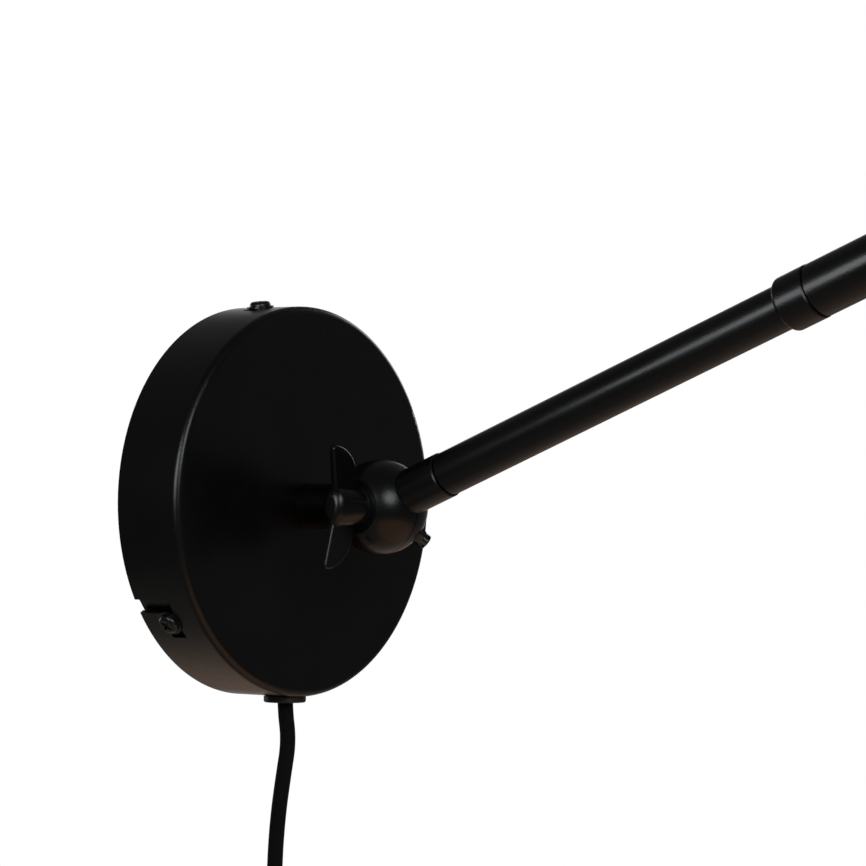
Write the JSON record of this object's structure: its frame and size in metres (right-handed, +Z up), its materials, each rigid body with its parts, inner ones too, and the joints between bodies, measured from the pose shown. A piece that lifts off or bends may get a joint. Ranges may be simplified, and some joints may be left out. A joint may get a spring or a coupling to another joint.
{
  "type": "wall lamp",
  "caption": "Plug-in wall lamp: round canopy on a wall bracket, swivel stem, ball knuckles with wing screws, telescopic arm, open shade and a textile cord with its plug.",
  "frame": {"origin": "centre of the bracket's back on the wall, which is also the middle between its two wall slots", "axes": "+Y into the wall, +Z up, +X to the right as the lamp is faced; the lamp stands out towards -Y"},
  "size_m": [0.1619, 0.5794, 0.4711],
  "materials": {
    "black_coat": "satin black powder coat",
    "black_screw": "blackened steel",
    "zinc_steel": "zinc-plated steel",
    "brass": "bare brass",
    "black_nickel": "black nickel plate",
    "lamp_cap_metal": "plain aluminium",
    "black_plastic": "matt black moulding",
    "white_plastic": "natural nylon",
    "porcelain": "glazed ceramic",
    "bulb_glass": "frosted glass",
    "black_textile": "braided textile sleeve"
  },
  "bodies": {
    "wall": {"wall_bracket": "black_coat", "canopy": "black_coat", "canopy_screws": "black_screw", "canopy_washers": "black_screw", "terminal_block": "white_plastic", "terminal_screws": "brass", "terminal_block_screw": "zinc_steel", "cord_grip": "black_plastic", "cord_grip_nut": "black_plastic", "power_cord": "black_textile", "cord_coil": "black_textile", "cord_tie": "black_plastic", "cord_tail": "black_textile", "plug_body": "black_plastic", "plug_pins": "zinc_steel"},
    "stem": {"stem_nipple": "zinc_steel", "stem_washer": "zinc_steel", "stem_lock_nut": "zinc_steel", "base_knuckle_stem_half": "black_coat", "base_wing_washer": "black_screw"},
    "arm": {"base_knuckle_arm_half": "black_coat", "base_friction_washer": "white_plastic", "base_stop_screw": "black_nickel", "base_stop_nut": "black_nickel", "inner_arm_tube": "black_coat", "arm_guide_bush": "white_plastic"},
    "base_wing": {"base_wing_head": "black_coat", "base_wing_stud": "zinc_steel"},
    "outer_arm": {"outer_arm_tube": "black_coat", "arm_collar": "black_coat", "arm_friction_ring": "white_plastic", "head_knuckle_arm_half": "black_coat", "head_wing_washer": "black_screw"},
    "lamp_head": {"head_knuckle_lamp_half": "black_coat", "head_friction_washer": "white_plastic", "head_stop_screw": "black_nickel", "head_stop_nut": "black_nickel", "lamp_nipple": "zinc_steel", "lamp_nipple_nut": "zinc_steel", "lampholder_cap": "black_coat", "lampholder_body": "black_plastic", "socket_insert": "porcelain", "socket_shell": "brass", "centre_contact": "brass", "bulb_base": "lamp_cap_metal", "bulb_glass": "bulb_glass", "shade": "black_coat", "shade_ring": "black_plastic"},
    "head_wing": {"head_wing_head": "black_coat", "head_wing_stud": "zinc_steel"},
    "knob": {"switch_knob": "black_plastic"}
  },
  "joints": [
    {"name": "stem_swivel", "type": "hinge", "parent": "wall", "child": "stem", "pos_m": [0, 0, -0.0014], "axis": [0, -1, 0], "range_deg": [-165, 165]},
    {"name": "arm_tilt", "type": "hinge", "parent": "stem", "child": "arm", "pos_m": [0, -0.0548, -0.0014], "axis": [-1, 0, 0], "range_deg": [-90, 55]},
    {"name": "base_wing_turn", "type": "hinge", "parent": "arm", "child": "base_wing", "pos_m": [0, -0.0548, -0.0014], "axis": [-1, 0, 0], "continuous": true},
    {"name": "arm_slide", "type": "slide", "parent": "arm", "child": "outer_arm", "axis": [0, -0.9295, 0.3689], "range_m": [-0.12, 0.1]},
    {"name": "head_tilt", "type": "hinge", "parent": "outer_arm", "child": "lamp_head", "pos_m": [0, -0.49945, 0.1751], "axis": [-1, 0, 0], "range_deg": [-8, 100]},
    {"name": "head_wing_turn", "type": "hinge", "parent": "lamp_head", "child": "head_wing", "pos_m": [0, -0.49945, 0.1751], "axis": [-1, 0, 0], "continuous": true},
    {"name": "switch_turn", "type": "hinge", "parent": "lamp_head", "child": "knob", "pos_m": [0, -0.49945, 0.1351], "axis": [0, -1, 0], "range_deg": [0, 90]}
  ]
}
